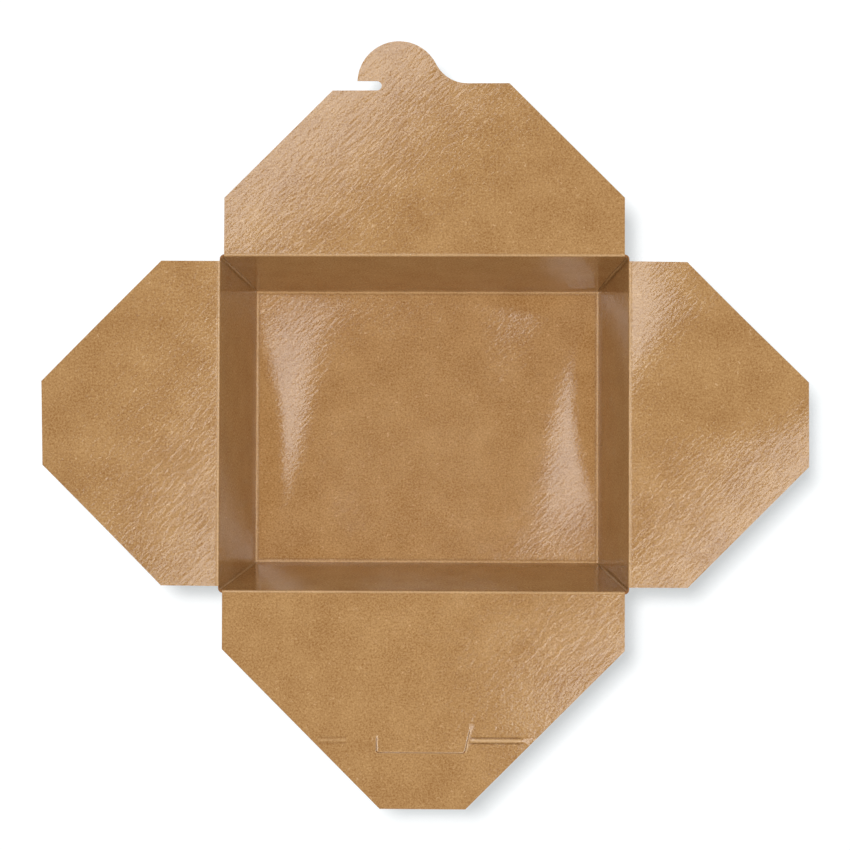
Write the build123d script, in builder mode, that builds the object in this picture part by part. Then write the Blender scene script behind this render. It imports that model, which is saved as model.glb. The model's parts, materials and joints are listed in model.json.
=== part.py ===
"""Folding takeaway box, standing open: a paperboard tray folded from one blank, and its four lid flaps.

Units are millimetres. The origin is the middle of the underside, +Z is up and the hooked flap is at +Y.
"""

import os
from math import atan, cos, degrees, hypot, radians, sqrt, tan

from build123d import *

os.makedirs("parts", exist_ok=True)

# Board and tray
board = 0.46  # 18 point kraft board with its coating
base_length = 152.4  # inside, along X
base_width = 120.6  # inside, along Y
tray_height = 63.5  # underside to the fold of the front flap
flare = 9.5  # how far each wall leans out between base and rim
fold_radius = 0.5  # inside radius of the folds round the base and up the corners

# Folds of the lid flaps
fold_gap = 0.6  # from a fold's axis to the edge of the flap, and down to the wall's edge
lid_gap = 0.3  # air between closed flaps that lie on each other
edge_round = 0.15  # rounding of the board along the folds

# Corner webs: board folded double and glued to the outside of the long walls
web_drop = 1.9  # from the rim down to a web's top edge
web_foot = 1.2  # from the underside up to a web's lowest point
corner_slot_top = 0.7  # gap between a long wall's end and the short wall, at the rim
corner_slot_foot = 0.2  # the same gap at the base
wall_end_round = 0.4  # rounding of a long wall's folded end, seen from inside
notch_clearance = 0.5  # the corner is cut back this far beyond the ends of the flaps

# Lid flaps
front_flap_width = 168.0  # along the fold
back_flap_width = 167.6
side_flap_width = 136.2
straight_side = 24.3  # from the fold to where the 45 degree cuts start
side_flap_length = 74.9
front_flap_length = 90.6

# Back flap: hook, the notch under its left side, and the flap's end edges beside it
left_shoulder = 69.5  # distances from the fold
right_shoulder = 72.5
hook_x = -10.8
hook_y = 73.0
hook_radius = 17.4
sweep_radius = 14.9  # hollow curve from the hook down to the right shoulder
notch_top = 73.5
notch_end_x = -18.0
hook_tip_round = 0.6

# Front flap: the slit that the hook goes into
slit_kerf = 0.3
slit_left_x = -19.3
slit_right_x = 17.4
slit_end_x = 19.6
slit_left_start = 60.5  # distances from the fold
slit_right_start = 57.5
slit_depth = 67.0
slit_corner = 1.2

# Front flap: pressed crease lines on either side of the slit
crease_distance = 61.9  # from the fold
crease_width = 1.6
crease_depth = 0.1
right_crease = (19.9, 41.1)  # start and end, along the fold
left_crease = (-43.6, -31.9)

# Worked out from the above
wall_rise = tray_height - board
lean = degrees(atan(flare / wall_rise))
wall_across = board / cos(radians(lean))  # a wall's thickness, measured level
lid_step = board + lid_gap
side_fold_z = tray_height - lid_step
front_fold_z = tray_height
back_fold_z = tray_height + lid_step
wall_top = back_fold_z - fold_gap
web_top = tray_height - web_drop
overrun = 5.0  # how far cutting shapes run past what they cut


def spread(height):
    """How far the inside of a wall has leant out at this height."""
    return flare * (height - board) / wall_rise


def outline(height, grow_x=0.0, grow_y=0.0):
    """Length and width of the tray's inside at this height, grown by these amounts on every side."""
    return base_length + 2 * (spread(height) + grow_x), base_width + 2 * (spread(height) + grow_y)


def fold_distance(inside_size, height):
    """From the middle of the box to the axis of a fold at this height, in the middle of its board."""
    return inside_size / 2 + spread(height) + wall_across / 2


def upright(edge):
    """Whether an edge runs up a corner of the tray."""
    return abs(edge.tangent_at(0.5).Z) > 0.5


def save(piece, label):
    """Writes one finished piece."""
    piece.part.label = label
    export_step(piece.part, f"parts/{label}.step")


side_fold_x = fold_distance(base_length, side_fold_z)
front_fold_y = fold_distance(base_width, front_fold_z)
back_fold_y = fold_distance(base_width, back_fold_z)

# In the flat blank a corner web fills what base and walls leave of a full turn at the base's corner, and it is
# folded down its middle.
edge_lean = degrees(atan(flare / hypot(wall_rise, flare)))
web_half_angle = (360 - 90 - 2 * (90 + edge_lean)) / 2
web_reach = (web_top - web_foot) / cos(radians(lean)) * tan(radians(web_half_angle - edge_lean))

# Corner webs, as the outer skin of the four corners
with BuildPart() as webs:
    with BuildSketch(Plane.XY.offset(web_foot)):
        Rectangle(*outline(web_foot, wall_across, 3 * wall_across))
    extrude(amount=web_top - web_foot, taper=-lean)
    fillet(webs.edges().filter_by(upright), fold_radius + board)
    with BuildSketch(Plane.XZ):
        for side in (1, -1):
            with BuildLine():
                Polyline(
                    (side * base_length / 2, web_foot - overrun),
                    (side * base_length / 2, web_foot),
                    (side * (base_length / 2 - web_reach), web_top),
                    (side * (base_length / 2 - web_reach), web_top + overrun),
                    (side * base_length, web_top + overrun),
                    (side * base_length, web_foot - overrun),
                    close=True,
                )
            make_face()
    extrude(amount=base_width, both=True, mode=Mode.INTERSECT)

# The gaps between the folded, rounded ends of the long walls and the insides of the short walls
with BuildPart() as slots:
    for height, gap in ((board, corner_slot_foot), (web_top + overrun, corner_slot_top)):
        inside_x, inside_y = (size / 2 for size in outline(height))
        with BuildSketch(Plane.XY.offset(height)):
            with BuildLine():
                CenterArc((inside_x - gap - wall_end_round, inside_y + wall_end_round), wall_end_round, 0, -90)
                Polyline(
                    (inside_x - gap - wall_end_round, inside_y),
                    (inside_x - gap - wall_end_round, inside_y - fold_radius),
                    (inside_x, inside_y - fold_radius),
                    (inside_x, inside_y + 2 * wall_across),
                    (inside_x - gap, inside_y + 2 * wall_across),
                    (inside_x - gap, inside_y + wall_end_round),
                )
            make_face()
    loft(ruled=True)
    mirror(about=Plane.YZ)
    mirror(about=Plane.XZ)

# Tray
with BuildPart() as tray:
    with BuildSketch():
        Rectangle(*outline(0, wall_across, wall_across))
    extrude(amount=wall_top, taper=-lean)
    fillet(tray.edges().filter_by(upright) + tray.faces().sort_by(Axis.Z)[0].edges(), fold_radius + board)
    add(webs.part)

    # Inside, with the folds round the base
    with BuildSketch(Plane.XY.offset(board)):
        Rectangle(*outline(board))
    extrude(amount=tray_height, taper=-lean, mode=Mode.SUBTRACT)
    fillet(tray.faces().filter_by_position(Axis.Z, 0.9 * board, 1.1 * board)[0].edges(), fold_radius)
    add(slots.part, mode=Mode.SUBTRACT)

    # Tops of the walls, one height for each fold
    wall_zone = 2 * flare
    with Locations((side_fold_x, 0, side_fold_z - fold_gap), (-side_fold_x, 0, side_fold_z - fold_gap)):
        Box(
            wall_zone,
            side_flap_width + 2 * notch_clearance,
            overrun,
            align=(Align.CENTER, Align.CENTER, Align.MIN),
            mode=Mode.SUBTRACT,
        )
    with Locations((0, -front_fold_y, front_fold_z - fold_gap)):
        Box(
            front_flap_width + 2 * notch_clearance,
            wall_zone,
            overrun,
            align=(Align.CENTER, Align.CENTER, Align.MIN),
            mode=Mode.SUBTRACT,
        )

    # The corners are cut down to the tops of the webs, just beyond the ends of the flaps
    for side_x in (1, -1):
        for side_y in (1, -1):
            corner_x = side_x * (front_flap_width / 2 + notch_clearance + overrun)
            corner_y = side_y * (side_flap_width / 2 + notch_clearance + overrun)
            with Locations((corner_x, corner_y, web_top)):
                Box(
                    2 * overrun,
                    2 * overrun,
                    2 * overrun,
                    align=(Align.CENTER, Align.CENTER, Align.MIN),
                    mode=Mode.SUBTRACT,
                )

    # Board edges along the folds, pressed round
    fold_edges = (
        tray.edges()
        .filter_by(lambda e: abs(e.tangent_at(0.5).Z) < 0.1 and e.length > side_flap_width / 2)
        .filter_by(lambda e: e.center().Z > web_top + board)
    )
    fillet(fold_edges, edge_round)

save(tray, "tray")

# Side flaps: one outline, placed at both ends
with BuildSketch() as side_outline:
    half_fold, half_end = side_flap_width / 2, side_flap_width / 2 - (side_flap_length - straight_side)
    with BuildLine():
        Polyline(
            (-half_fold, fold_gap),
            (-half_fold, straight_side),
            (-half_end, side_flap_length),
            (half_end, side_flap_length),
            (half_fold, straight_side),
            (half_fold, fold_gap),
            close=True,
        )
    make_face()

with BuildPart() as left_flap:
    with BuildSketch(Plane((-side_fold_x, 0, side_fold_z), x_dir=(0, 1, 0))):
        add(side_outline.sketch)
    extrude(amount=board / 2, both=True)
    fillet(left_flap.faces().sort_by(Axis.X)[-1].edges().filter_by(Axis.Y), edge_round)

save(left_flap, "left_flap")

with BuildPart() as right_flap:
    with BuildSketch(Plane((side_fold_x, 0, side_fold_z), x_dir=(0, -1, 0))):
        add(side_outline.sketch)
    extrude(amount=board / 2, both=True)
    fillet(right_flap.faces().sort_by(Axis.X)[0].edges().filter_by(Axis.Y), edge_round)

save(right_flap, "right_flap")

# Front flap, drawn from below so that x runs the same way as the box's
front_plane = Plane((0, -front_fold_y, front_fold_z), x_dir=(1, 0, 0), z_dir=(0, 0, -1))

with BuildPart() as front_flap:
    with BuildSketch(front_plane):
        half_fold, half_end = front_flap_width / 2, front_flap_width / 2 - (front_flap_length - straight_side)
        with BuildLine():
            Polyline(
                (-half_fold, fold_gap),
                (-half_fold, straight_side),
                (-half_end, front_flap_length),
                (half_end, front_flap_length),
                (half_fold, straight_side),
                (half_fold, fold_gap),
                close=True,
            )
        make_face()
    extrude(amount=board / 2, both=True)
    fillet(front_flap.faces().sort_by(Axis.Y)[-1].edges().filter_by(Axis.X), edge_round)

    # Slit
    with BuildSketch(front_plane):
        with BuildLine():
            FilletPolyline(
                (slit_left_x, slit_left_start),
                (slit_left_x, slit_depth),
                (slit_right_x, slit_depth),
                (slit_end_x, slit_right_start),
                radius=slit_corner,
            )
        trace(line_width=slit_kerf)
    extrude(amount=board, both=True, mode=Mode.SUBTRACT)

    # Crease lines
    with BuildSketch(front_plane.offset(-board / 2)):
        for start, end in (left_crease, right_crease):
            with Locations(((start + end) / 2, crease_distance)):
                SlotOverall(end - start, crease_width)
    extrude(amount=crease_depth, mode=Mode.SUBTRACT)

save(front_flap, "front_flap")

# Back flap: the hook's circle runs into a hollow curve that meets the right shoulder
sweep_y = right_shoulder + sweep_radius
sweep_x = hook_x + sqrt((hook_radius + sweep_radius) ** 2 - (sweep_y - hook_y) ** 2)
meet = hook_radius / (hook_radius + sweep_radius)
meet_x, meet_y = hook_x + meet * (sweep_x - hook_x), hook_y + meet * (sweep_y - hook_y)
bend_x, bend_y = (meet_x + sweep_x) / 2 - sweep_x, (meet_y + right_shoulder) / 2 - sweep_y
bend = sweep_radius / hypot(bend_x, bend_y)
tip_x = hook_x - sqrt(hook_radius**2 - (notch_top - hook_y) ** 2)
notch_round = (notch_top - left_shoulder) / 2

with BuildPart() as back_flap:
    with BuildSketch(Plane((0, back_fold_y, back_fold_z), x_dir=(1, 0, 0))) as back_outline:
        half_fold = back_flap_width / 2
        with BuildLine():
            Polyline(
                (notch_end_x - notch_round, left_shoulder),
                (-half_fold + left_shoulder - straight_side, left_shoulder),
                (-half_fold, straight_side),
                (-half_fold, fold_gap),
                (half_fold, fold_gap),
                (half_fold, straight_side),
                (half_fold - right_shoulder + straight_side, right_shoulder),
                (sweep_x, right_shoulder),
            )
            ThreePointArc(
                (sweep_x, right_shoulder),
                (sweep_x + bend * bend_x, sweep_y + bend * bend_y),
                (meet_x, meet_y),
            )
            ThreePointArc((meet_x, meet_y), (hook_x, hook_y + hook_radius), (tip_x, notch_top))
            Line((tip_x, notch_top), (notch_end_x - notch_round, notch_top))
            ThreePointArc(
                (notch_end_x - notch_round, notch_top),
                (notch_end_x, (notch_top + left_shoulder) / 2),
                (notch_end_x - notch_round, left_shoulder),
            )
        make_face()
        hook_tip = back_outline.vertices().sort_by_distance((tip_x, notch_top))[0]
        fillet(hook_tip, hook_tip_round)
    extrude(amount=board / 2, both=True)
    fillet(back_flap.faces().sort_by(Axis.Y)[0].edges().filter_by(Axis.X), edge_round)

save(back_flap, "back_flap")
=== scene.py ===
import json
import math

import bmesh
import bpy
import numpy
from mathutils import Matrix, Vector
from mathutils.geometry import delaunay_2d_cdt


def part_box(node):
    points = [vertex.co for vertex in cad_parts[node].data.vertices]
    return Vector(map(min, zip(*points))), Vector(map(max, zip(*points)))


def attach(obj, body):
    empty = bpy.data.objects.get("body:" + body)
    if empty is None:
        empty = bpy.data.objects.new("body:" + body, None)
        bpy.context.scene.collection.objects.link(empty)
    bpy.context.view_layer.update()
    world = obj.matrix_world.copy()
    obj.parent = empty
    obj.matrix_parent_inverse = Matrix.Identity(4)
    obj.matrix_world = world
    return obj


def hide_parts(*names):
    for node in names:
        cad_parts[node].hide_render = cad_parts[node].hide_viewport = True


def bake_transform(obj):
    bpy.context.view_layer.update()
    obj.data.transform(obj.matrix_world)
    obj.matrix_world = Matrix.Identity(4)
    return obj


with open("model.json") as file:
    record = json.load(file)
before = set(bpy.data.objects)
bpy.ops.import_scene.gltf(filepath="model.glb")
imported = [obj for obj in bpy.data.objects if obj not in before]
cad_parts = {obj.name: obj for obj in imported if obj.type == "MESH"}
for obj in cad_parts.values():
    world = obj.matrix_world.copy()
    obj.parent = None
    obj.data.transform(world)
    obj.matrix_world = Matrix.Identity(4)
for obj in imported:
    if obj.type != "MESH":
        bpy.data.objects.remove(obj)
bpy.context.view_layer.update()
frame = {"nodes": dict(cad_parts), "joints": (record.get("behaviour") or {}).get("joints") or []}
print("frame loaded:", sorted(frame["nodes"]))

mm = 0.001  # lengths are in metres

# ---- places taken from the frame, and values that the tray and the flaps share ----

folds = {joint["child"]: Vector(joint["pos_m"]) for joint in frame["joints"]}
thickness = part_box("front_flap")[1].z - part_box("front_flap")[0].z
baseMiddle = thickness / 2  # height of the middle of the base's board
lean = math.atan(9.5 / 63.04)  # the walls lean out by this
turn = math.pi / 2 - lean  # every fold in the box turns by this
rimDrop = 1.0 * mm  # the tray's walls end this far below a flap's fold
shortSides = ("left_flap", "right_flap")


def between(first, second, share):
    return first * (1 - share) + second * share


def smooth(value, low, high):
    step = min(1.0, max(0.0, (value - low) / (high - low)))
    return step * step * (3 - 2 * step)


def onSide(body, reach, along, z):
    # the point this far out of the box towards a flap, and this far along that flap's fold
    side = -1 if body in ("left_flap", "front_flap") else 1
    if body in shortSides:
        return (side * reach, along, z)
    return (along, side * reach, z)


def halfAt(body, z):
    # from the middle of the box to the middle of a wall's board, at this height
    fold = folds[body]
    reach = abs(fold.x) if body in shortSides else abs(fold.y)
    return reach - (fold.z - z) * math.tan(lean)


def bead(distance, half, height):
    # a rounded ridge with a faint hollow on either side
    ratio = abs(distance) / half
    ridge = height * math.cos(min(ratio, 1.0) * math.pi / 2) ** 2
    hollow = -0.3 * height * math.exp(-(((ratio - 1.25) / 0.3) ** 2))
    return ridge + hollow


def beadTone(distance, half):
    # the crest of a crease is rubbed pale and painted as a highlight, and its two edges are crushed
    # dark and painted as shade
    ratio = abs(distance) / half
    return math.exp(-((ratio / 0.45) ** 2)) - 0.9 * math.exp(-(((ratio - 1.2) / 0.3) ** 2))


def arc(centre, radius, start, finish, count):
    # points round a circle, angles in degrees
    made = []
    for step in range(count + 1):
        angle = math.radians(start + (finish - start) * step / count)
        made.append((centre[0] + radius * math.cos(angle), centre[1] + radius * math.sin(angle)))
    return made


# ---- building board ----


class Sheet:
    # the middle of a board as a welded sheet, with each point's place on the flat blank in millimetres
    # and its tone: above 0 is rubbed pale and painted highlight, below 0 is crushed dark and painted
    # shade
    def __init__(self):
        self.points = []
        self.blank = []
        self.tones = []
        self.faces = []

    def point(self, place, blank, tone):
        self.points.append(tuple(place))
        self.blank.append(tuple(blank))
        self.tones.append(tone)
        return len(self.points) - 1

    def grid(self, rows):
        # rows of (place, blank, tone), all of one length
        numbers = [[self.point(*spot) for spot in row] for row in rows]
        for low, high in zip(numbers, numbers[1:]):
            for left in range(len(low) - 1):
                self.faces.append((low[left], low[left + 1], high[left + 1], high[left]))

    def weld(self, mesh):
        # joins the points that meet, and turns the coated side up
        work = bmesh.new()
        work.from_mesh(mesh)
        bmesh.ops.remove_doubles(work, verts=work.verts, dist=0.02 * mm)
        bmesh.ops.recalc_face_normals(work, faces=work.faces)
        levelest = max(work.faces, key=lambda face: abs(face.normal.z) * face.calc_area())
        if levelest.normal.z < 0:
            bmesh.ops.reverse_faces(work, faces=work.faces)
        work.to_mesh(mesh)
        work.free()

    def build(self, name, materials):
        mesh = bpy.data.meshes.new(name)
        mesh.from_pydata(self.points, [], self.faces)
        flat = mesh.attributes.new("blank", "FLOAT_VECTOR", "POINT")
        flat.data.foreach_set("vector", numpy.array(self.blank, numpy.float32).ravel())
        tone = mesh.attributes.new("tone", "FLOAT", "POINT")
        tone.data.foreach_set("value", numpy.array(self.tones, numpy.float32))
        self.weld(mesh)
        holder = bpy.data.objects.new(name + "Sheet", mesh)
        bpy.context.scene.collection.objects.link(holder)
        board = holder.modifiers.new("board", "SOLIDIFY")
        board.thickness = thickness
        board.offset = 0.0
        board.material_offset = 1
        board.material_offset_rim = 2
        for material in materials:
            mesh.materials.append(material)
        graph = bpy.context.evaluated_depsgraph_get()
        shown = holder.evaluated_get(graph)
        made = bpy.data.meshes.new_from_object(shown, preserve_all_data_layers=True, depsgraph=graph)
        made.name = name
        made.shade_smooth()
        made.set_sharp_from_angle(angle=math.radians(40))
        bpy.data.objects.remove(holder)
        piece = bpy.data.objects.new(name, made)
        bpy.context.scene.collection.objects.link(piece)
        print(name, "faces", len(made.polygons))
        return piece


# ---- shader nodes ----


class Wire:
    # a shader socket that can be used in sums
    def __init__(self, tree, socket):
        self.tree = tree
        self.socket = socket

    def maths(self, operation, first, second=None, clamp=False):
        node = self.tree.nodes.new("ShaderNodeMath")
        node.operation = operation
        node.use_clamp = clamp
        for place, value in enumerate((first, second)):
            if isinstance(value, Wire):
                self.tree.links.new(value.socket, node.inputs[place])
            elif value is not None:
                node.inputs[place].default_value = value
        return Wire(self.tree, node.outputs[0])

    def __add__(self, other):
        return self.maths("ADD", self, other)

    def __radd__(self, other):
        return self.maths("ADD", other, self)

    def __sub__(self, other):
        return self.maths("SUBTRACT", self, other)

    def __rsub__(self, other):
        return self.maths("SUBTRACT", other, self)

    def __mul__(self, other):
        return self.maths("MULTIPLY", self, other)

    def __truediv__(self, other):
        return self.maths("DIVIDE", self, other)

    def size(self):
        return self.maths("ABSOLUTE", self)

    def clamped(self):
        return self.maths("ADD", self, 0.0, clamp=True)


class Finish:
    # one material, with a single way to add nodes
    def __init__(self, name):
        self.material = bpy.data.materials.new(name)
        self.material.use_nodes = True
        self.tree = self.material.node_tree
        self.tree.nodes.clear()

    def node(self, kind, settings, inputs, output=0):
        made = self.tree.nodes.new("ShaderNode" + kind)
        for key, value in settings.items():
            setattr(made, key, value)
        for key, value in inputs.items():
            if isinstance(value, Wire):
                self.tree.links.new(value.socket, made.inputs[key])
            else:
                made.inputs[key].default_value = value
        return Wire(self.tree, made.outputs[output])

    def mix(self, factor, first, second):
        return self.node("Mix", {"data_type": "RGBA"}, {0: factor, 6: first, 7: second}, 2)

    def blank(self, stretch, shift, angle=0):
        # the flat blank in millimetres, turned, then scaled and shifted
        flat = self.node("Attribute", {"attribute_name": "blank"}, {}, "Vector")
        turned = self.node("VectorRotate", {}, {"Vector": flat, "Angle": math.radians(-angle)})
        return self.node("Mapping", {}, {"Vector": turned, "Scale": stretch, "Location": shift})

    def noise(self, where, scale, detail=2.0, roughness=0.5, distortion=0.0):
        inputs = {"Vector": where, "Scale": scale, "Detail": detail}
        inputs |= {"Roughness": roughness, "Distortion": distortion}
        return self.node("TexNoise", {}, inputs, "Fac")

    def end(self, shader):
        out = self.tree.nodes.new("ShaderNodeOutputMaterial")
        self.tree.links.new(shader.socket, out.inputs["Surface"])
        return self.material


def srgb(red, green, blue):
    # a colour as a screen shows it, as the light that shaders use
    def light(value):
        share = value / 255
        return share / 12.92 if share <= 0.04045 else ((share + 0.055) / 1.055) ** 2.4

    return (light(red), light(green), light(blue), 1.0)


# ---- kraft board ----

# The pulp. Scales are in turns a millimetre.
pulp = {
    "cloudScale": 0.06,
    "cloudAmount": 0.8,
    "grainScale": 1.3,
    "grainAmount": 2.5,
    "paleFibre": {"stretch": (1.0, 0.55, 1), "scale": 0.45, "amount": 0.5},
    "darkFibre": {"stretch": (0.55, 1.0, 1), "scale": 0.5, "amount": 0.45},
    "fibreWidth": 0.02,
    "speckScale": 0.11,
    "speckSize": 0.028,
    "speckPick": 0.52,  # specks show where a slow noise is above this
    "fleckScale": 0.62,
    "fleckPick": 0.66,
    "fleckAmount": 0.55,
    # how strongly the tone paints highlight and shade, partly real rubbed and crushed board
    "highlightAndRubbedAmount": 0.75,
    "shadeAndCrushedAmount": 0.8,
}


def fibres(finish, colour, shade, look, shift):
    # thin threads, each broken into short lengths by a second noise
    across = finish.blank(look["stretch"], (shift[0] + 31, shift[1] - 17, 4))
    thread = finish.noise(across, look["scale"], 1.5, 0.5, 0.8)
    gate = finish.noise(across, look["scale"] * 1.9, 1.0)
    line = 1.0 - ((thread - 0.5).size() / pulp["fibreWidth"]).clamped()
    return finish.mix(line * ((gate - 0.5) * 6.0).clamped() * look["amount"], colour, shade)


def kraftColour(finish, look, shift, withCreaseAndShadeTone):
    # cloudy pulp, pale and dark fibres, creases rubbed pale and crushed dark that are partly painted
    # highlight and painted shade, painted shade on the webs, pale flecks and a few bark specks
    where = finish.blank((1, 1, 1), shift)
    cloud = finish.noise(where, pulp["cloudScale"], 3.0, 0.55)
    grain = finish.noise(where, pulp["grainScale"], 3.0, 0.62, 0.5)
    mottle = (cloud - 0.5) * pulp["cloudAmount"] + (grain - 0.5) * pulp["grainAmount"]
    colour = finish.mix((mottle + 0.5).clamped(), look["dark"], look["light"])
    colour = fibres(finish, colour, look["light"], pulp["paleFibre"], shift)
    colour = fibres(finish, colour, look["dark"], pulp["darkFibre"], shift)
    # the tone paints highlights on crease crests and along the slit's cut, and shade at crease edges
    # and on the webs, partly real rubbing and crushing
    if withCreaseAndShadeTone:
        tone = finish.node("Attribute", {"attribute_name": "tone"}, {}, "Fac")
        colour = finish.mix(tone.clamped() * pulp["highlightAndRubbedAmount"], colour, look["paleFleckAndHighlight"])
        colour = finish.mix((0.0 - tone).clamped() * pulp["shadeAndCrushedAmount"], colour, look["crushedAndPaintedShade"])
    apart = finish.blank((1, 1, 1), (shift[0] - 9, shift[1] + 40, 1))
    flecks = finish.noise(apart, pulp["fleckScale"], 1.5, 0.5, 1.2)
    fleck = ((flecks - pulp["fleckPick"]) * 9.0).clamped() * pulp["fleckAmount"]
    colour = finish.mix(fleck, colour, look["paleFleckAndHighlight"])
    spots = {"Vector": where, "Scale": pulp["speckScale"], "Randomness": 1.0}
    cell = finish.node("TexVoronoi", {"feature": "F1"}, spots, "Distance")
    pick = finish.noise(where, 0.045, 0.0)
    speck = (1.0 - cell / pulp["speckSize"]).clamped() * ((pick - pulp["speckPick"]) * 20.0).clamped()
    return finish.mix(speck, colour, look["speck"]), grain, cloud


coatedKraft = {
    "light": srgb(196, 154, 101),
    "dark": srgb(152, 106, 56),
    "speck": srgb(84, 52, 26),
    # pale flecks, and the painted highlight on crease crests and along the slit
    "paleFleckAndHighlight": srgb(222, 184, 138),
    # crushed crease edges, and the painted shade at crease edges and on the webs
    "crushedAndPaintedShade": srgb(84, 48, 18),
    "roughness": 0.08,
    "roughnessChange": 0.08,
    "bump": 0.3,
    "pits": 0.11,
    "pitScale": 0.9,
    "streaks": 0.24,
    "streakScale": 0.55,
    "streakStretch": (0.35, 1, 1),
    "streakAngle": 45,  # degrees, on the flat blank
    "waves": 0.3,
    "waveScale": 0.08,
}


def coatedSide():
    # the glossy food side of the board, its film slightly pitted and streaked
    finish = Finish("coatedKraft")
    look = coatedKraft
    colour, _, cloud = kraftColour(finish, look, (0, 0, 0), True)
    shift = (7, 3, 2)
    where = finish.blank((1, 1, 1), shift)
    streaked = finish.blank(look["streakStretch"], shift, look["streakAngle"])
    pits = finish.noise(where, look["pitScale"], 3.0, 0.55)
    streaks = finish.noise(streaked, look["streakScale"], 3.0, 0.6)
    waves = finish.noise(where, look["waveScale"], 2.0, 0.5)
    height = pits * look["pits"] + streaks * look["streaks"] + waves * look["waves"]
    normal = finish.node("Bump", {}, {"Strength": look["bump"], "Distance": mm, "Height": height})
    rough = look["roughness"] + (cloud - 0.5) * look["roughnessChange"]
    inputs = {"Base Color": colour, "Roughness": rough, "Normal": normal, "IOR": 1.5}
    return finish.end(finish.node("BsdfPrincipled", {}, inputs))


rawKraft = {
    "light": srgb(192, 155, 110),
    "dark": srgb(146, 106, 64),
    "speck": srgb(86, 56, 30),
    "paleFleckAndHighlight": srgb(206, 170, 126),
    "roughness": 0.85,
    "bump": 0.5,
}


def rawSide():
    # the matt outside of the board
    finish = Finish("rawKraft")
    colour, grain, _ = kraftColour(finish, rawKraft, (211, 97, 5), False)
    relief = {"Strength": rawKraft["bump"], "Distance": 0.2 * mm, "Height": grain}
    normal = finish.node("Bump", {}, relief)
    inputs = {"Base Color": colour, "Roughness": rawKraft["roughness"], "Normal": normal}
    return finish.end(finish.node("BsdfPrincipled", {}, inputs))


cutKraft = {"light": srgb(176, 122, 70), "dark": srgb(120, 72, 34), "roughness": 0.9}


def cutSide():
    # the die-cut edge, where the layers of pulp show
    finish = Finish("cutKraft")
    grain = finish.noise(finish.blank((1, 1, 1), (3, 5, 1)), 2.5, 3.0, 0.7)
    colour = finish.mix(grain, cutKraft["dark"], cutKraft["light"])
    inputs = {"Base Color": colour, "Roughness": cutKraft["roughness"]}
    return finish.end(finish.node("BsdfPrincipled", {}, inputs))


boardSides = [coatedSide(), rawSide(), cutSide()]
print("materials made")


# ---- flaps ----

flapLooks = {
    "left_flap": {
        "half": 68.1 * mm,
        "length": 74.8 * mm,
        "rise": -3.9 * mm,  # how far the free edge stands above the fold
        "curl": 1.4 * mm,
        "twist": 7.0 * mm,
        "dip": 0.0,  # a hollow beside the fold, towards one end
    },
    "right_flap": {
        "half": 68.1 * mm,
        "length": 74.8 * mm,
        "rise": -0.8 * mm,
        "curl": -0.5 * mm,
        "twist": 0.0,
        "dip": -13.0 * mm,
    },
    "front_flap": {
        "half": 84.0 * mm,
        "length": 90.45 * mm,
        "rise": -0.3 * mm,
        "curl": -0.6 * mm,
        "twist": 0.0,
        "dip": 0.0,
    },
    "back_flap": {
        "half": 83.8 * mm,
        "length": 90.4 * mm,
        "rise": -1.1 * mm,
        "curl": -0.4 * mm,
        "twist": 0.3 * mm,
        "dip": 0.0,
    },
}

crease = {
    "radius": 0.5 * mm,  # middle of the board, at a flap's fold
    "beadHeight": 0.22 * mm,
    "beadHalf": 0.75 * mm,
    "beadOut": 0.2 * mm,
    # painted highlight on the fold's crest and painted shade at its edges
    "beadTone": 0.6,
    "straightSide": 24.3 * mm,  # a flap's ends run straight this far out, then slant in
    "warpStart": 1.0 * mm,  # past this the flap's board is warped
    "dipFrom": -0.1,  # as shares of half the flap's width
    "dipTo": 0.7,
}

hook = {
    "centre": (-10.8 * mm, 72.9 * mm),
    "radius": 17.4 * mm,
    "sweep": 14.9 * mm,
    "leftShoulder": 69.5 * mm,
    "rightShoulder": 72.5 * mm,
    "notchTop": 73.5 * mm,
    "notchEnd": -18.0 * mm,
}

slit = {
    "left": -19.3 * mm,
    "right": 17.4 * mm,
    "rightEnd": 19.6 * mm,
    "leftStart": 60.5 * mm,
    "rightStart": 57.5 * mm,
    "depth": 67.0 * mm,
    "corner": 1.2 * mm,
    "kerf": 0.16 * mm,
    "burr": 0.14 * mm,  # the cut edges curl up by this
    "burrWidth": 0.35 * mm,
    # painted highlight along the cut
    "tone": 0.8,
    "toneWidth": 0.3 * mm,
    "lift": 0.25 * mm,  # the tongue stands this far above the flap
}

scores = {
    "half": 0.95 * mm,
    "height": 0.3 * mm,
    "distance": 61.9 * mm,
    "right": {"ends": (19.9 * mm, 41.1 * mm), "strength": 1.0},
    "left": {"ends": (-43.6 * mm, -31.9 * mm), "strength": 0.35},
    "fade": 0.6 * mm,
}

# How close the points of a flap lie.
flapMesh = {
    "outline": 2.5 * mm,
    "columns": 2.5 * mm,
    "field": 3.0 * mm,
    "fieldStart": 6.5 * mm,
    "slit": 1.0 * mm,
    "scoreRows": 17,
    "scoreBand": 2.4 * mm,
    "scoreColumns": 1.2 * mm,
    "foldRows": (
        -0.75, -0.6, -0.45, -0.3, -0.15, 0, 0.15, 0.3, 0.45, 0.6, 0.8, 1.0, 1.3, 1.8, 2.6, 4.0,
    ),  # millimetres from the fold
    "besideSlit": (0.3, 0.6, 1.0),  # millimetres from the cut
}


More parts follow.
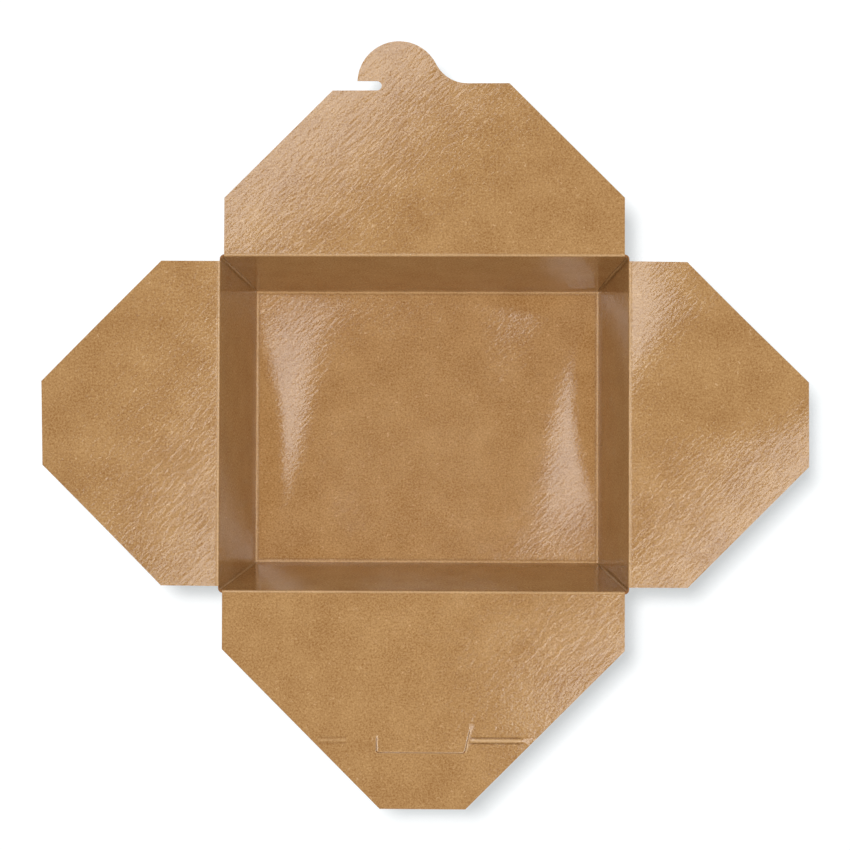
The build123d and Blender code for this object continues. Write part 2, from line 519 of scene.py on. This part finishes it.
def flapFold(distance):
    # section through the fold of a flap; distance is below 0 down the wall
    radius = crease["radius"]
    tangent = radius * math.tan(turn / 2)
    half = radius * turn / 2
    if distance > half:
        out, up, angle = tangent + distance - half, 0.0, 0.0
    elif distance < -half:
        run = tangent - distance - half
        out, up, angle = -run * math.sin(lean), -run * math.cos(lean), turn
    else:
        angle = (half - distance) / radius
        out, up = tangent - radius * math.sin(angle), -radius * (1 - math.cos(angle))
    ridge = max(0.0, bead(distance - crease["beadOut"], crease["beadHalf"], crease["beadHeight"]))
    return out - ridge * math.sin(angle), up + ridge * math.cos(angle) - crease["beadHeight"]


def hemLength():
    # how far along the board the flap's own hem reaches down the wall
    radius = crease["radius"]
    return rimDrop / math.cos(lean) - radius * math.tan(turn / 2) + radius * turn / 2


def divided(path, reach):
    # the same path with points about this far apart
    fine = [path[0]]
    for before, after in zip(path, path[1:]):
        count = max(1, round(math.dist(before, after) / reach))
        for step in range(1, count + 1):
            share = step / count
            fine.append((between(before[0], after[0], share), between(before[1], after[1], share)))
    return fine


def plainOutline(look):
    half, length, straight = look["half"], look["length"], crease["straightSide"]
    end = half - (length - straight)
    return [(half, straight), (end, length), (-end, length), (-half, straight)]


def hookOutline(look):
    half, straight = look["half"], crease["straightSide"]
    left, right = hook["leftShoulder"], hook["rightShoulder"]
    centre, radius, sweep = hook["centre"], hook["radius"], hook["sweep"]
    sweepY = right + sweep
    sweepX = centre[0] + math.sqrt((radius + sweep) ** 2 - (sweepY - centre[1]) ** 2)
    toSweep = math.degrees(math.atan2(sweepY - centre[1], sweepX - centre[0]))
    drop = hook["notchTop"] - centre[1]
    tip = 180 - math.degrees(math.asin(drop / radius))
    notch = (hook["notchTop"] - left) / 2
    notchX = hook["notchEnd"] - notch
    made = [(half, straight), (half - (right - straight), right)]
    made += arc((sweepX, sweepY), sweep, 270, 180 + toSweep, 14)
    made += arc(centre, radius, toSweep, tip, 40)[1:]
    made += arc((notchX, left + notch), notch, 90, -90, 10)
    made += [(-half + (left - straight), left), (-half, straight)]
    return made


def slitPath():
    left, right, depth, corner = slit["left"], slit["right"], slit["depth"], slit["corner"]
    slope = math.atan2(slit["rightStart"] - depth, slit["rightEnd"] - right)
    inner = math.pi + slope  # angle between the level cut and the slanting one
    cut = corner / math.tan(inner / 2)
    path = [(left, slit["leftStart"])]
    path += arc((left + corner, depth - corner), corner, 180, 90, 6)
    path += arc((right - cut, depth - corner), corner, 90, 90 - math.degrees(math.pi - inner), 6)
    path.append((slit["rightEnd"], slit["rightStart"]))
    return divided(path, flapMesh["slit"])


def besideSlit(half):
    # the two lines that run beside the cut, at this distance from its middle
    path = slitPath()
    sides = ([], [])
    for number, place in enumerate(path):
        before = path[max(0, number - 1)]
        after = path[min(len(path) - 1, number + 1)]
        run = math.dist(before, after)
        across = ((after[1] - before[1]) / run * half, -(after[0] - before[0]) / run * half)
        sides[0].append((place[0] + across[0], place[1] + across[1]))
        sides[1].append((place[0] - across[0], place[1] - across[1]))
    return sides


def slitOutline():
    # a thin closed loop round the cut
    inner, outer = besideSlit(slit["kerf"] / 2)
    return inner + outer[::-1]


def fromLine(x, y, start, finish):
    # how far points lie from a straight line between two places
    runX, runY = finish[0] - start[0], finish[1] - start[1]
    share = ((x - start[0]) * runX + (y - start[1]) * runY) / (runX**2 + runY**2)
    share = numpy.clip(share, 0, 1)
    return numpy.hypot(x - start[0] - share * runX, y - start[1] - share * runY)


def fromSlit(along, distance):
    # how far a point of the flap lies from the cut
    path = slitPath()
    return min(fromLine(along, distance, *ends) for ends in zip(path, path[1:]))


def inside(points, outline, margin):
    # which points lie inside the outline and at least the margin from it
    x, y = points[:, 0], points[:, 1]
    within = numpy.zeros(len(points), bool)
    nearest = numpy.full(len(points), numpy.inf)
    for start, finish in zip(outline, outline[1:] + outline[:1]):
        crosses = (start[1] > y) != (finish[1] > y)
        with numpy.errstate(divide="ignore", invalid="ignore"):
            slope = (finish[0] - start[0]) / numpy.float64(finish[1] - start[1])
            within ^= crosses & (x < slope * (y - start[1]) + start[0])
        nearest = numpy.minimum(nearest, fromLine(x, y, start, finish))
    return within & (nearest > margin)


def flapShape(body, along, distance):
    # how far the flap's board lies above level, past its fold
    look = flapLooks[body]
    far = max(0.0, distance - crease["warpStart"]) / look["length"]
    wide = along / look["half"]
    dip = look["dip"] * far * (1 - far) * smooth(wide, crease["dipFrom"], crease["dipTo"])
    return look["rise"] * far + look["curl"] * far**2 + look["twist"] * far * wide + dip


def scoreRelief(along, distance):
    # the two short creases beside the slit: how high they stand, and how pale or dark they are, partly
    # painted highlight and painted shade
    height = tone = 0.0
    fade = scores["fade"]
    across = distance - scores["distance"]
    for side in (scores["right"], scores["left"]):
        start, finish = side["ends"]
        shown = smooth(along, start - fade, start + fade) - smooth(along, finish - fade, finish + fade)
        height += shown * side["strength"] * bead(across, scores["half"], scores["height"])
        tone += shown * side["strength"] * beadTone(across, scores["half"])
    return height, tone


def tongueLift(along, distance):
    # the tongue inside the slit, highest at its free edge
    half = slit["kerf"] / 4
    if not slit["left"] + half < along or distance > slit["depth"] - half:
        return 0.0
    slant = (slit["rightEnd"] - slit["right"]) / (slit["rightStart"] - slit["depth"])
    if along > slit["right"] - half + (distance - slit["depth"]) * slant:
        return 0.0
    return slit["lift"] * smooth(distance, slit["rightStart"] - 2 * mm, slit["depth"])


def slitRelief(along, distance):
    # everything that the front flap has and the others don't
    height, tone = scoreRelief(along, distance)
    cut = fromSlit(along, distance)
    height += tongueLift(along, distance)
    height += slit["burr"] * math.exp(-((cut / slit["burrWidth"]) ** 2))
    # a pale line painted along the cut as a highlight
    tone += slit["tone"] * math.exp(-((cut / slit["toneWidth"]) ** 2))
    return height, tone


def frontField(field):
    # close rows along the pressed creases, and close lines beside the slit
    low, high = scores["left"]["ends"][0], scores["right"]["ends"][1]
    near = numpy.abs(field[:, 1] - scores["distance"]) < 3.2 * mm
    near &= (field[:, 0] > low - 3 * mm) & (field[:, 0] < high + 3 * mm)
    band = flapMesh["scoreBand"]
    fine = scores["distance"] + numpy.linspace(-band, band, flapMesh["scoreRows"])
    across = numpy.arange(low - 2 * mm, high + 2 * mm, flapMesh["scoreColumns"])
    field = numpy.vstack([field[~near], [(x, y) for y in fine for x in across]])
    clear = numpy.array([fromSlit(x, y) for x, y in field]) > 1.3 * mm
    reaches = flapMesh["besideSlit"]
    beside = [spot for reach in reaches for side in besideSlit(reach * mm) for spot in side]
    return numpy.vstack([field[clear], beside])


def flapPoints(body, outline):
    # rows along the fold, then an even field of points
    look = flapLooks[body]
    half, step = look["half"], flapMesh["field"]
    columns = numpy.linspace(-half, half, round(2 * half / flapMesh["columns"]) + 1)
    foldRows = [-hemLength()] + [row * mm for row in flapMesh["foldRows"]]
    wide = numpy.arange(-half, half, step) + 1.1 * mm
    deep = numpy.arange(flapMesh["fieldStart"], look["length"], step)
    field = numpy.array([(x, y) for y in deep for x in wide])
    if body == "front_flap":
        field = frontField(field)
    kept = field[inside(field, outline, 0.9 * mm)]
    return [(x, y) for y in foldRows for x in columns] + [tuple(place) for place in kept]


def buildFlap(body, outline, cut=()):
    half, hem = flapLooks[body]["half"], hemLength()
    start = (-half, -hem)
    outline = divided([start, (half, -hem)] + outline + [start], flapMesh["outline"])[:-1]
    loops = [list(range(len(outline)))]
    if cut:
        loops.append([len(outline) + number for number in range(len(cut))])
    flat = [Vector(place) / mm for place in outline + list(cut) + flapPoints(body, outline)]
    places, _, triangles, _, _, owners = delaunay_2d_cdt(flat, [], loops, 1, 0.0005)
    sheet = Sheet()
    fold = folds[body]
    out = Vector(onSide(body, 1, 0, 0))
    along = Vector(onSide(body, 0, 1, 0))
    reachFlat = halfAt(body, baseMiddle) + (fold.z - baseMiddle) / math.cos(lean)
    for place in places:
        u, d = place.x * mm, place.y * mm
        outward, up = flapFold(d)
        relief, tone = slitRelief(u, d) if body == "front_flap" else (0.0, 0.0)
        up += flapShape(body, u, d) + relief
        # painted highlight and shade along the fold's bead, partly real rubbed and crushed board
        tone += crease["beadTone"] * max(0.0, beadTone(d - crease["beadOut"], crease["beadHalf"]))
        spot = fold + out * outward + along * u + Vector((0, 0, up))
        blank = (out * (reachFlat + d) + along * u) / mm
        sheet.point(spot, blank, tone)
    for triangle, owner in zip(triangles, owners):
        if owner == [0]:  # inside the outline, and not in the cut
            sheet.faces.append(tuple(triangle))
    piece = sheet.build(body + "Board", boardSides)
    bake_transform(piece)
    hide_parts(body)


# ---- tray ----

tray = {
    "foldRadius": 0.73 * mm,  # middle of the board, round the base
    "beadHeight": 0.3 * mm,  # raised crease round the base
    "beadHalf": 0.8 * mm,
    # painted highlight and shade on the base's crease, partly real rubbed and crushed board
    "beadTone": 0.4,
    "webTop": 61.6 * mm,
    "webStart": 2.4 * mm,  # the webs have grown out of the base's corners by here
    "webLean": math.radians(28.1),  # the web's folded edge, from the upright
    "webPitch": 0.52 * mm,  # from one glued layer to the next
    "webMargin": 0.1 * mm,
    "webPaintedShade": -1.4,  # painted shade: the web behind the gap is darkened in its colour
    "cornerRadius": 1.8 * mm,
    "gapFoot": 0.35 * mm,  # dark gap between a long wall's end and the short wall
    "gapMiddle": 0.95 * mm,
    "gapTop": 0.55 * mm,
    "bowMiddle": 1.2 * mm,  # the base stands up this far in its middle
    "bowEdge": 2.8 * mm,  # and this far where it starts to fall to the short walls
    "bowInner": 0.25,  # as shares of half the base
    "bowOuter": 0.68,
    "bowTwist": 0.8,
    "bowMargin": 1.6 * mm,
    "longBulge": -0.5 * mm,  # the long walls bend in by this at their middles
    "shortBulge": -0.4 * mm,
}

# How close the points of the tray lie.
trayMesh = {
    "field": 4 * mm,
    "creaseRows": (0, 0.12, 0.25, 0.4, 0.55, 0.7, 0.85, 1.0, 1.15, 1.35, 1.6),  # millimetres
    "baseRows": (2.1, 3.0),
    "wallRows": (2.0,),
    "wallCount": 26,
    "cornerSteps": 6,
    "levelSteps": 9,
}


def baseFold(distance):
    # section through a fold of the base; distance runs along the board, and is below 0 on the base
    radius = tray["foldRadius"]
    tangent = radius * math.tan(turn / 2)
    half = radius * turn / 2
    if distance < -half:
        out, up, angle = -tangent + (distance + half), 0.0, 0.0
    elif distance > half:
        run = tangent + distance - half
        out, up, angle = run * math.sin(lean), run * math.cos(lean), turn
    else:
        angle = (distance + half) / radius
        out, up = -tangent + radius * math.sin(angle), radius * (1 - math.cos(angle))
    ridge = max(0.0, bead(distance + 0.5 * tray["beadHalf"], tray["beadHalf"], tray["beadHeight"]))
    return out - ridge * math.sin(angle), up + ridge * math.cos(angle)


def baseTone(distance):
    # painted highlight and shade on the base's crease, partly real rubbed and crushed board
    return tray["beadTone"] * beadTone(distance + 0.5 * tray["beadHalf"], tray["beadHalf"])


def baseLine(place, half):
    # where a line of the flat base ends up, and how high, near the fold at this half width
    out, up = baseFold(abs(place) - half)
    return math.copysign(half + out, place), up


def baseLines(half):
    # from one edge of the base to the other: close together at the folds and wider in the middle
    edge = [half - step * mm for step in trayMesh["creaseRows"] + trayMesh["baseRows"]]
    inner = edge[-1]
    count = round(2 * inner / trayMesh["field"])
    middle = [-inner + 2 * inner * number / count for number in range(1, count)]
    return [-place for place in edge] + middle + edge[::-1]


def upWall():
    # distances up a wall from the fold of the base to the top of the webs
    start, count = tray["webStart"], trayMesh["wallCount"]
    top = (tray["webTop"] - baseMiddle) / math.cos(lean)
    close = [step * mm for step in trayMesh["creaseRows"] + trayMesh["wallRows"]]
    return close + [start + (top - start) * number / count for number in range(count + 1)]


halfLong = halfAt("right_flap", baseMiddle)
halfWide = halfAt("front_flap", baseMiddle)
acrossX = baseLines(halfLong)
acrossY = baseLines(halfWide)
wallRows = upWall()


def baseBow(x, y):
    # the base stands up a little, most of all where it starts to fall to the short walls
    shareX = max(-1.0, min(1.0, x / (halfLong - tray["bowMargin"])))
    shareY = max(-1.0, min(1.0, y / (halfWide - tray["bowMargin"])))
    inner, outer = tray["bowInner"], tray["bowOuter"]
    crest = smooth(abs(shareX), inner, outer)
    fall = max(0.0, (abs(shareX) - outer) / (1 - outer)) ** 1.5
    height = between(tray["bowMiddle"], tray["bowEdge"], crest)
    return height * (1 - fall) * (1 - shareY**2) * (1 + tray["bowTwist"] * shareX * shareY)


def bulge(body, along, z):
    # how far a wall stands out at this point
    key, end = ("shortBulge", "front_flap") if body in shortSides else ("longBulge", "right_flap")
    height = math.sin(math.pi * min(1.0, max(0.0, z / tray["webTop"])))
    across = math.cos(min(1.0, abs(along) / halfAt(end, z)) * math.pi / 2)
    return tray[key] * height * across


def gapAt(z):
    share = min(1.0, z / tray["webTop"])
    straight = between(tray["gapFoot"], tray["gapTop"], share)
    return straight + (tray["gapMiddle"] - straight) * math.sin(math.pi * share) ** 1.5


def longEnd(z):
    # where the flat of a long wall stops, before its folded end
    fold = thickness / 2 + tray["webPitch"] / 2
    return halfAt("right_flap", z) - thickness / 2 - gapAt(z) - fold


def shortEnd(z):
    # where a short wall stops, before it turns into the web
    return halfAt("front_flap", z) + 2 * tray["webPitch"] - tray["cornerRadius"]


def wallEnd(body, distance, corner):
    # a wall's half width on this row; it leaves the base's own corner on the first ones
    z = baseMiddle + baseFold(distance)[1]
    far = shortEnd(z) if body in shortSides else longEnd(z)
    return between(corner, far, smooth(distance, 0, tray["webStart"]))


def baseGrid():
    made = []
    for y in acrossY:
        placeY, upY = baseLine(y, halfWide)
        row = []
        for x in acrossX:
            placeX, upX = baseLine(x, halfLong)
            place = (placeX, placeY, baseMiddle + max(upX, upY) + baseBow(x, y))
            tones = (baseTone(abs(x) - halfLong), baseTone(abs(y) - halfWide))
            row.append((place, (x / mm, y / mm, 0), max(tones, key=abs)))
        made.append(row)
    return made


def wallGrid(body):
    half, halfOther, across = halfWide, halfLong, acrossX
    if body in shortSides:
        half, halfOther, across = halfLong, halfWide, acrossY
    firstRow = [baseLine(place, halfOther)[0] for place in across]
    corner = firstRow[-1]
    last = wallRows[-1]
    strip = (folds[body].z - rimDrop - baseMiddle - baseFold(last)[1]) / math.cos(lean)
    made = []
    for distance in wallRows + [last + strip / 2, last + strip]:
        out, up = baseFold(distance)
        z = baseMiddle + up
        # the strip above the webs narrows to the flap
        narrowed = max(0.0, (distance - last) / strip)
        end = between(wallEnd(body, min(distance, last), corner), flapLooks[body]["half"], narrowed)
        row = []
        for first in firstRow:
            along = first * end / corner
            place = onSide(body, half + out + bulge(body, along, z), along, z)
            blank = onSide(body, (half + distance) / mm, along / mm, 0)
            row.append((place, blank, baseTone(distance)))
        made.append(row)
    return made


def levelRun(start, finish, y):
    # points between two places on a level line
    count = trayMesh["levelSteps"]
    return [(between(start, finish, step / count), y) for step in range(1, count)]


def webPath(distance):
    # level section of a web: round the corner, out to the folded edge, back, and into the long wall
    pitch, corner, steps = tray["webPitch"], tray["cornerRadius"], trayMesh["cornerSteps"]
    radius = pitch / 2
    out, up = baseFold(distance)
    short, wide = halfLong + out, halfWide + out
    end = longEnd(baseMiddle + up)
    tip = halfLong - up * math.tan(tray["webLean"]) / math.cos(lean)
    tip = min(tip, end - radius - tray["webMargin"]) + radius
    path = arc((short - corner, wide + 2 * pitch - corner), corner, 0, 90, steps)
    path += levelRun(short - corner, tip, wide + 2 * pitch)
    path += arc((tip, wide + 1.5 * pitch), radius, 90, 270, steps)
    path += levelRun(tip, end, wide + pitch)
    return path + arc((end, wide + 0.5 * pitch), radius, 90, -90, steps)


def webGrid(sideX, sideY):
    steps = trayMesh["cornerSteps"]
    footX = baseLine(acrossX[-1], halfLong)[0]
    footY = baseLine(acrossY[-1], halfWide)[0]
    made = []
    for distance in wallRows:
        out, up = baseFold(distance)
        z = baseMiddle + up
        grown = smooth(distance, 0, tray["webStart"])  # the web grows out of the base's corner
        path = webPath(distance)
        row = []
        run = 0.0
        for number, (x, y) in enumerate(path):
            if number:
                run += math.dist(path[number - 1], path[number])
            share = number / (len(path) - 1)
            x = between(between(halfLong + out, footX, share), x, grown)
            y = between(between(footY, halfWide + out, share), y, grown)
            bend = bulge("back_flap", x, z) * grown if number > steps else 0.0
            blank = (sideX * (halfLong + distance) / mm, sideY * (halfWide + run) / mm, 0)
            # painted shade on the web behind the corner gap
            tone = tray["webPaintedShade"] * grown if number >= steps else 0.0
            row.append(((sideX * x, sideY * (y + bend), z), blank, tone))
        made.append(row)
    return made


def buildTray():
    sheet = Sheet()
    sheet.grid(baseGrid())
    for body in folds:
        sheet.grid(wallGrid(body))
    for sideX in (1, -1):
        for sideY in (1, -1):
            sheet.grid(webGrid(sideX, sideY))
    piece = sheet.build("trayBoard", boardSides)
    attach(piece, "tray")
    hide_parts("tray")


buildTray()
print("tray made")

buildFlap("left_flap", plainOutline(flapLooks["left_flap"]))
buildFlap("right_flap", plainOutline(flapLooks["right_flap"]))
buildFlap("front_flap", plainOutline(flapLooks["front_flap"]), slitOutline())
buildFlap("back_flap", hookOutline(flapLooks["back_flap"]))
print("flaps made")


# ---- studio ----

floorLook = {
    "half": 3.0,
    "matt": (0.5, 0.5, 0.5, 1),
    "glow": (0.93, 0.98, 1, 1),  # lifts the floor to near white, for the camera alone
    "glowStrength": 0.52,
}


def buildFloor():
    half = floorLook["half"]
    mesh = bpy.data.meshes.new("floor")
    corners = [(-half, -half, 0), (half, -half, 0), (half, half, 0), (-half, half, 0)]
    mesh.from_pydata(corners, [], [(0, 1, 2, 3)])
    made = bpy.data.objects.new("floor", mesh)
    bpy.context.scene.collection.objects.link(made)
    finish = Finish("paleFloor")
    seen = finish.node("LightPath", {}, {}, "Is Camera Ray")
    matt = finish.node("BsdfDiffuse", {}, {"Color": floorLook["matt"]})
    glowInputs = {"Color": floorLook["glow"], "Strength": floorLook["glowStrength"]}
    both = finish.node("AddShader", {}, {0: matt, 1: finish.node("Emission", {}, glowInputs)})
    mesh.materials.append(finish.end(finish.node("MixShader", {}, {0: seen, 1: matt, 2: both})))
    return made


roomLight = 0.3

softBoxes = {
    "overhead": {"place": (0.04, -0.04, 1.5), "size": 0.3, "power": 16.0},
    "floorKey": {"place": (-0.11, 0.11, 1.5), "size": 0.2, "power": 20.0},
}


def softBox(name, receivers):
    # a square lamp aimed at the middle of the floor; its glare is left out of the board's gloss
    look = softBoxes[name]
    light = bpy.data.lights.new(name, "AREA")
    light.shape = "RECTANGLE"
    light.size = light.size_y = look["size"]
    light.energy = look["power"]
    holder = bpy.data.objects.new(name, light)
    holder.location = look["place"]
    holder.rotation_mode = "QUATERNION"
    holder.rotation_quaternion = (-Vector(look["place"])).to_track_quat("-Z", "Y")
    holder.visible_glossy = False
    holder.light_linking.receiver_collection = receivers
    bpy.context.scene.collection.objects.link(holder)


def buildRoom():
    world = bpy.data.worlds.new("room")
    bpy.context.scene.world = world
    world.use_nodes = True
    background = world.node_tree.nodes["Background"]
    background.inputs["Color"].default_value = (1, 1, 1, 1)
    background.inputs["Strength"].default_value = roomLight


def lightBoard(floor):
    # one lamp lights the box, and another lights the floor and throws the box's shadow
    floorOnly = bpy.data.collections.new("floorOnly")
    floorOnly.objects.link(floor)
    allButFloor = bpy.data.collections.new("allButFloor")
    allButFloor.objects.link(floor)
    allButFloor.collection_objects[0].light_linking.link_state = "EXCLUDE"
    softBox("overhead", allButFloor)
    softBox("floorKey", floorOnly)


# Panels that are seen only in the gloss of the board.
# along: from and to, across the box's diagonal towards the back left; across: the other way
sheenHeight = 1.3
sheens = {
    "backLeftGlow": {"along": (0.31, 0.7), "across": (-0.7, 0.45), "strength": 5.0},
    "frontRightGlow": {"along": (-0.65, -0.245), "across": (-0.15, 0.9), "strength": 5.0},
}


def glowPanel(name):
    look = sheens[name]
    along = sum(look["along"]) / 2
    across = sum(look["across"]) / 2
    wide = look["across"][1] - look["across"][0]
    deep = look["along"][1] - look["along"][0]
    diagonal = math.sqrt(0.5)
    light = bpy.data.lights.new(name, "AREA")
    light.shape = "RECTANGLE"
    light.size, light.size_y = wide, deep
    light.energy = look["strength"] * math.pi * wide * deep
    holder = bpy.data.objects.new(name, light)
    holder.location = ((across - along) * diagonal, (across + along) * diagonal, sheenHeight)
    holder.rotation_euler = (0, 0, math.pi / 4)
    holder.visible_diffuse = False
    holder.visible_camera = False
    bpy.context.scene.collection.objects.link(holder)


camera = {
    "place": (0.02285, -0.02148, 1.00793),
    "turn": (1.273, 1.345, 0.177),  # degrees
    "lens": 95.84,
    "sensor": 36.0,
}


def buildCamera():
    lens = bpy.data.cameras.new("camera")
    lens.lens = camera["lens"]
    lens.sensor_width = camera["sensor"]
    lens.clip_start, lens.clip_end = 0.05, 10.0
    holder = bpy.data.objects.new("camera", lens)
    holder.location = camera["place"]
    holder.rotation_euler = [math.radians(angle) for angle in camera["turn"]]
    bpy.context.scene.collection.objects.link(holder)
    bpy.context.scene.camera = holder


floor = buildFloor()
buildRoom()
lightBoard(floor)
for panel in sheens:
    glowPanel(panel)
buildCamera()
bpy.context.scene.view_settings.view_transform = "Standard"
print("studio ready")
